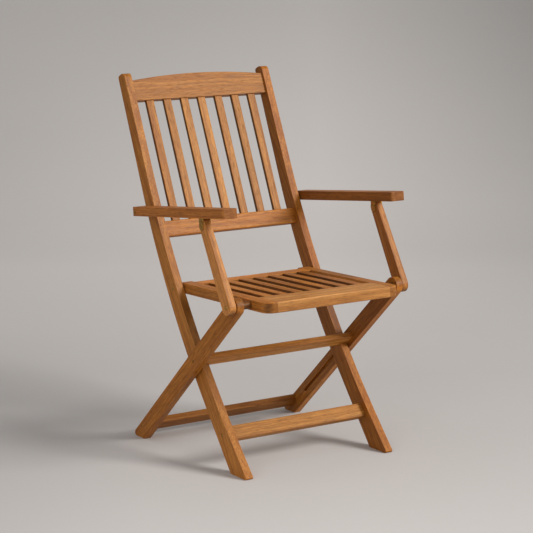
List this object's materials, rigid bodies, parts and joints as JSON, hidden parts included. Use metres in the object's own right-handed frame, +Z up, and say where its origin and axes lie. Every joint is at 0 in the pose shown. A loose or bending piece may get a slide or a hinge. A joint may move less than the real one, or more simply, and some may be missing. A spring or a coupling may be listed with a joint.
{
  "type": "folding garden armchair",
  "caption": "Slatted hardwood garden armchair that folds flat: lifting the seat slides the crossed rear legs along grooves and swings up both armrests.",
  "frame": {"origin": "on the floor, under the middle of the box round the open chair", "axes": "+X to the sitter's left, the seat faces -Y, +Z up"},
  "size_m": [0.5314, 0.6488, 0.9192],
  "materials": {
    "frame_wood": "oiled hardwood, satin",
    "back_wood": "oiled hardwood, satin",
    "seat_wood": "oiled hardwood, satin",
    "leg_wood": "oiled hardwood, satin",
    "arm_wood": "oiled hardwood, satin",
    "brass": "weathered brass plate, matt",
    "steel": "zinc plated steel"
  },
  "bodies": {
    "frame": {"long_leg_left": "frame_wood", "long_leg_right": "frame_wood", "crest_rail": "back_wood", "lower_back_rail": "back_wood", "back_slat_1": "back_wood", "back_slat_2": "back_wood", "back_slat_3": "back_wood", "back_slat_4": "back_wood", "back_slat_5": "back_wood", "back_slat_6": "back_wood", "back_slat_7": "back_wood", "front_stretcher": "leg_wood", "front_stretcher_screws": "brass", "rear_seat_bolts": "brass", "rear_seat_nuts": "brass", "rear_seat_washers": "brass", "arm_rear_bolts": "brass", "arm_spacers": "brass", "groove_studs": "steel"},
    "seat": {"seat_side_rail_left": "seat_wood", "seat_side_rail_right": "seat_wood", "seat_front_rail": "seat_wood", "seat_rear_rail": "seat_wood", "seat_slat_1": "seat_wood", "seat_slat_2": "seat_wood", "seat_slat_3": "seat_wood", "seat_slat_4": "seat_wood", "seat_slat_5": "seat_wood", "seat_slat_6": "seat_wood", "seat_slat_7": "seat_wood", "seat_spacer_left": "seat_wood", "seat_spacer_right": "seat_wood", "front_seat_bolts": "brass", "front_seat_washers": "brass", "seat_barrel_nuts": "steel"},
    "rear_legs": {"rear_leg_left": "leg_wood", "rear_leg_right": "leg_wood", "middle_stretcher": "leg_wood", "rear_stretcher": "leg_wood", "rear_leg_screws": "brass"},
    "glider_left": {"groove_glider_left": "brass"},
    "glider_right": {"groove_glider_right": "brass"},
    "armrest_left": {"armrest_left": "arm_wood", "arm_bracket_left": "brass", "arm_pin_left": "brass", "bracket_screws_left": "brass"},
    "armrest_right": {"armrest_right": "arm_wood", "arm_bracket_right": "brass", "arm_pin_right": "brass", "bracket_screws_right": "brass"},
    "strut_left": {"arm_strut_left": "arm_wood"},
    "strut_right": {"arm_strut_right": "arm_wood"}
  },
  "joints": [
    {"name": "seat_fold", "type": "hinge", "parent": "frame", "child": "seat", "pos_m": [0, 0.06182, 0.407], "axis": [-1, 0, 0], "range_deg": [0, 90]},
    {"name": "rear_leg_fold", "type": "hinge", "parent": "seat", "child": "rear_legs", "pos_m": [0, -0.25118, 0.42], "axis": [-1, 0, 0], "range_deg": [-29, 0]},
    {"name": "glider_left_slide", "type": "slide", "parent": "rear_legs", "child": "glider_left", "axis": [0, 0.7319, -0.6814], "range_m": [0, 0.2275]},
    {"name": "armrest_left_fold", "type": "hinge", "parent": "frame", "child": "armrest_left", "pos_m": [0.2431, 0.16682, 0.588], "axis": [-1, 0, 0], "range_deg": [0, 90]},
    {"name": "strut_left_fold", "type": "hinge", "parent": "armrest_left", "child": "strut_left", "pos_m": [0.2514, -0.14618, 0.601], "axis": [-1, 0, 0], "range_deg": [-90, 0]},
    {"name": "glider_right_slide", "type": "slide", "parent": "rear_legs", "child": "glider_right", "axis": [0, 0.7319, -0.6814], "range_m": [0, 0.2275]},
    {"name": "armrest_right_fold", "type": "hinge", "parent": "frame", "child": "armrest_right", "pos_m": [-0.2431, 0.16682, 0.588], "axis": [-1, 0, 0], "range_deg": [0, 90]},
    {"name": "strut_right_fold", "type": "hinge", "parent": "armrest_right", "child": "strut_right", "pos_m": [-0.2514, -0.14618, 0.601], "axis": [-1, 0, 0], "range_deg": [-90, 0]}
  ],
  "couplings": [
    {"joint": "rear_leg_fold", "follows": "seat_fold", "ratio": -0.32},
    {"joint": "glider_left_slide", "follows": "seat_fold", "m_per_rad": 0.14452},
    {"joint": "armrest_left_fold", "follows": "seat_fold", "ratio": 1},
    {"joint": "strut_left_fold", "follows": "seat_fold", "ratio": -1},
    {"joint": "glider_right_slide", "follows": "seat_fold", "m_per_rad": 0.14452},
    {"joint": "armrest_right_fold", "follows": "seat_fold", "ratio": 1},
    {"joint": "strut_right_fold", "follows": "seat_fold", "ratio": -1}
  ]
}
